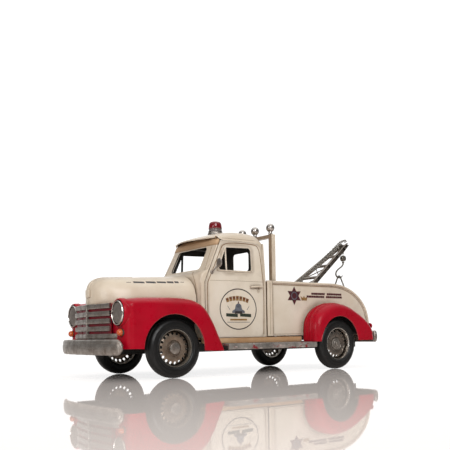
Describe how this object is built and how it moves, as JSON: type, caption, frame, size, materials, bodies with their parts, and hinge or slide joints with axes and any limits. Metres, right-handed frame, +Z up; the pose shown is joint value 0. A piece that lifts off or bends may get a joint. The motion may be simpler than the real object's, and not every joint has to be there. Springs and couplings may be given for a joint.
{
  "type": "toy tow truck",
  "caption": "Toy tow truck with rounded fenders, roof beacon, rolling pierced wheels, light rack and a hinged ladder boom with winch, chain, pulley and tow hook.",
  "frame": {"origin": "middle of the truck's box on the ground plane", "axes": "+X towards the front bumper, +Y to the truck's left, +Z up"},
  "size_m": [0.4258, 0.156, 0.1894],
  "materials": {
    "body_ivory": "antiqued semi-gloss paint",
    "body_red": "gloss paint",
    "worn_pewter": "worn and tarnished",
    "dull_steel": "tarnished",
    "polished_chrome": "polished",
    "bronze_rim": "bronze metallic, worn",
    "tyre_rubber": "satin",
    "frame_black": "satin",
    "sill_tan": "worn, matt",
    "red_lens": "translucent",
    "amber_lens": "translucent",
    "dark_seat": "matt"
  },
  "bodies": {
    "truck": {"beacon_base": "dull_steel", "beacon_dome": "red_lens", "bed_floor": "body_ivory", "bed_side_left": "body_ivory", "bed_side_right": "body_ivory", "bed_tail": "body_ivory", "bench_seat": "dark_seat", "boom_base": "worn_pewter", "cab_cowl": "body_ivory", "cab_rear_wall": "body_ivory", "cab_roof": "body_ivory", "cab_side_left": "body_ivory", "cab_side_right": "body_ivory", "chassis_frame": "frame_black", "door_handle_left": "body_ivory", "door_handle_right": "body_ivory", "fender_front_left": "body_red", "fender_front_right": "body_red", "fender_rear_left": "body_red", "fender_rear_right": "body_red", "floor_board": "sill_tan", "front_axle": "dull_steel", "front_bumper": "worn_pewter", "grille_bars": "worn_pewter", "grille_panel": "body_red", "headlight_left": "worn_pewter", "headlight_right": "worn_pewter", "hood": "body_ivory", "light_inner_left": "polished_chrome", "light_inner_right": "polished_chrome", "light_outer_left": "polished_chrome", "light_outer_right": "polished_chrome", "light_rack": "body_ivory", "mirror_left": "worn_pewter", "rear_axle": "dull_steel", "rear_bumper": "worn_pewter", "running_board_left": "worn_pewter", "running_board_right": "worn_pewter", "steering_wheel": "frame_black", "tail_light_left": "red_lens", "tail_light_right": "red_lens", "turn_signal_left": "amber_lens", "turn_signal_right": "amber_lens"},
    "boom_arm": {"boom": "worn_pewter", "boom_chain": "dull_steel"},
    "winch": {"winch_drum": "dull_steel"},
    "pulley": {"tip_pulley": "dull_steel"},
    "hoist_block": {"hook_chain": "dull_steel", "hook_block": "dull_steel"},
    "hook": {"tow_hook": "dull_steel"},
    "link": {"tow_link": "dull_steel"},
    "wheel_front_left": {"tyre_front_left": "tyre_rubber", "rim_front_left": "bronze_rim"},
    "wheel_front_right": {"tyre_front_right": "tyre_rubber", "rim_front_right": "bronze_rim"},
    "wheel_rear_left": {"tyre_rear_left": "tyre_rubber", "rim_rear_left": "bronze_rim"},
    "wheel_rear_right": {"tyre_rear_right": "tyre_rubber", "rim_rear_right": "bronze_rim"}
  },
  "joints": [
    {"name": "roll_front_left", "type": "hinge", "parent": "truck", "child": "wheel_front_left", "pos_m": [0.13284, 0.0639, 0.0325], "axis": [0, 1, 0], "continuous": true},
    {"name": "roll_front_right", "type": "hinge", "parent": "truck", "child": "wheel_front_right", "pos_m": [0.13284, -0.0639, 0.0325], "axis": [0, 1, 0], "continuous": true},
    {"name": "roll_rear_left", "type": "hinge", "parent": "truck", "child": "wheel_rear_left", "pos_m": [-0.11316, 0.0665, 0.0325], "axis": [0, 1, 0], "continuous": true},
    {"name": "roll_rear_right", "type": "hinge", "parent": "truck", "child": "wheel_rear_right", "pos_m": [-0.11316, -0.0665, 0.0325], "axis": [0, 1, 0], "continuous": true},
    {"name": "boom_lift", "type": "hinge", "parent": "truck", "child": "boom_arm", "pos_m": [-0.06816, 0, 0.076], "axis": [0, 1, 0], "range_deg": [-15, 25]},
    {"name": "winch_turn", "type": "hinge", "parent": "boom_arm", "child": "winch", "pos_m": [-0.08589, 0, 0.08902], "axis": [0, 1, 0], "continuous": true},
    {"name": "pulley_turn", "type": "hinge", "parent": "boom_arm", "child": "pulley", "pos_m": [-0.19592, 0, 0.16981], "axis": [0, 1, 0], "continuous": true},
    {"name": "hoist_swing", "type": "hinge", "parent": "boom_arm", "child": "hoist_block", "pos_m": [-0.20167, 0, 0.16981], "axis": [0, 1, 0], "range_deg": [-15, 50]},
    {"name": "hook_swivel", "type": "hinge", "parent": "hoist_block", "child": "hook", "pos_m": [-0.20167, 0, 0.15125], "axis": [0, 0, 1], "continuous": true},
    {"name": "link_swing", "type": "hinge", "parent": "hook", "child": "link", "pos_m": [-0.19247, 0, 0.12735], "axis": [1, 0, 0], "range_deg": [-50, 50]}
  ],
  "couplings": [
    {"joint": "pulley_turn", "follows": "winch_turn", "ratio": 1.313}
  ]
}
